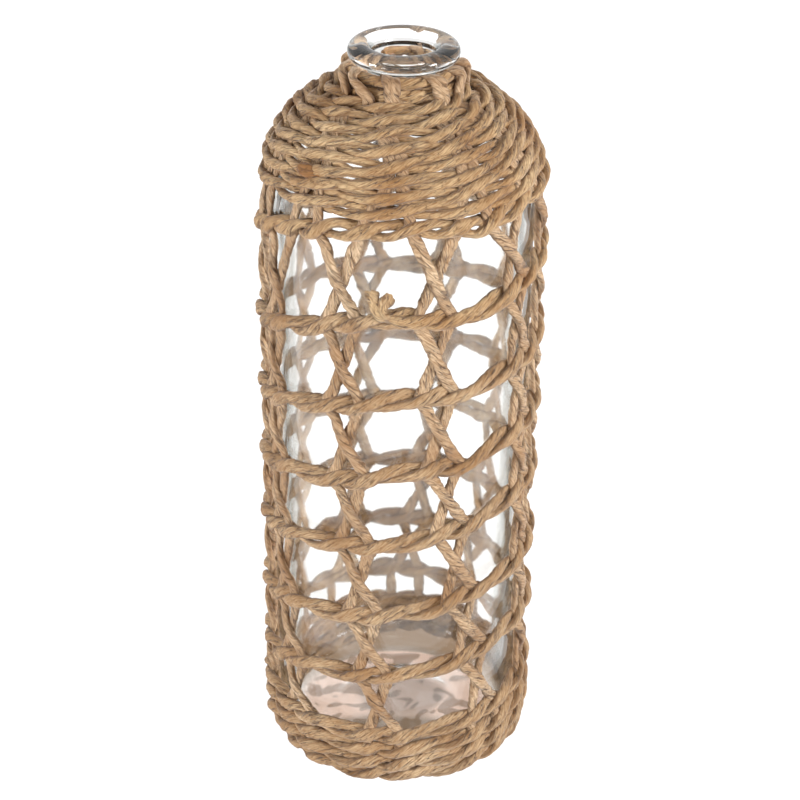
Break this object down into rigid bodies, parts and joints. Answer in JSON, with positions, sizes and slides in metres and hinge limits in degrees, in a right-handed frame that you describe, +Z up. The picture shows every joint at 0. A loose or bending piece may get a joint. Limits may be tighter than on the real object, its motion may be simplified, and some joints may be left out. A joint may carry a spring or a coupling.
{
  "type": "fibre-wrapped glass vase",
  "caption": "Clear glass bottle vase inside a jacket of twined paper cord, with close turns on the shoulder and foot and an open net of crossed stakes between them.",
  "frame": {"origin": "centre of the bottle's foot, on the surface that it stands on", "axes": "+Z up along the bottle's axis, -Y towards the front of the picture"},
  "size_m": [0.1001, 0.1, 0.2733],
  "materials": {
    "clear_glass": "clear, smooth and glossy",
    "paper_cord": "matte twisted kraft paper"
  },
  "bodies": {
    "root": {"glass_bottle": "clear_glass", "neck_collar": "paper_cord", "shoulder_winding": "paper_cord", "net_winding": "paper_cord", "foot_band_winding": "paper_cord", "stake_cord_1": "paper_cord", "stake_cord_2": "paper_cord", "stake_cord_3": "paper_cord", "stake_cord_4": "paper_cord", "stake_cord_5": "paper_cord", "stake_cord_6": "paper_cord", "stake_cord_7": "paper_cord", "stake_cord_8": "paper_cord", "stake_cord_9": "paper_cord", "stake_cord_10": "paper_cord"}
  },
  "joints": []
}
